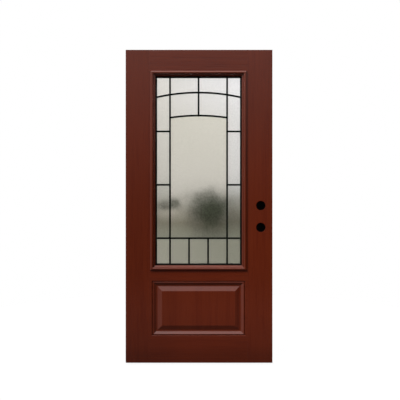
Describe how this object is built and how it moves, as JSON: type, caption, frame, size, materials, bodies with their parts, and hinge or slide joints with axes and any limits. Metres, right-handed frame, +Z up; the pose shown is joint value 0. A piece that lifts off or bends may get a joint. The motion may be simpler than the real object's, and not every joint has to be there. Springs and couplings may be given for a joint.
{
  "type": "door slab",
  "caption": "Entry door slab with a moulded face: leaded arch-top glass lite in a raised frame over an embossed panel, bored for a latch and a deadbolt.",
  "frame": {"origin": "on the floor of the middle hinge gain, at the gain's middle height and the middle of the slab's thickness", "axes": "+X from the hinge edge to the lock edge, -Y out of the outside face, +Z up"},
  "size_m": [0.941, 0.0684, 2.0066],
  "materials": {
    "stained_skin": "moulded fibreglass with embossed wood grain, mahogany stain, satin to semi-gloss topcoat",
    "stained_edge": "stained edge timber, satin",
    "lite_frame": "moulded frame, mahogany stain, semi-gloss",
    "clear_glass": "clear flat pane",
    "spacer_bar": "dark spacer bar, matt",
    "dark_came": "came with a dark patina, soft sheen",
    "border_glass": "obscure glass, finely textured",
    "field_glass": "obscure glass, pebbled"
  },
  "bodies": {
    "root": {"door_leaf": "stained_skin", "hinge_stile": "stained_edge", "lock_stile": "stained_edge", "top_rail": "stained_edge", "bottom_rail": "stained_edge", "lite_frame_front": "lite_frame", "lite_frame_back": "lite_frame", "glass_pane_front": "clear_glass", "glass_pane_back": "clear_glass", "spacer_bar": "spacer_bar", "came_lattice": "dark_came", "glass_field": "field_glass", "glass_crown_left": "field_glass", "glass_crown_right": "field_glass", "glass_band_left": "field_glass", "glass_band_right": "field_glass", "glass_left_top": "border_glass", "glass_left_upper": "border_glass", "glass_left_middle": "border_glass", "glass_left_lower": "border_glass", "glass_left_bottom": "border_glass", "glass_right_top": "border_glass", "glass_right_upper": "border_glass", "glass_right_middle": "border_glass", "glass_right_lower": "border_glass", "glass_right_bottom": "border_glass", "glass_base_left": "border_glass", "glass_base_middle": "border_glass", "glass_base_right": "border_glass"}
  },
  "joints": []
}
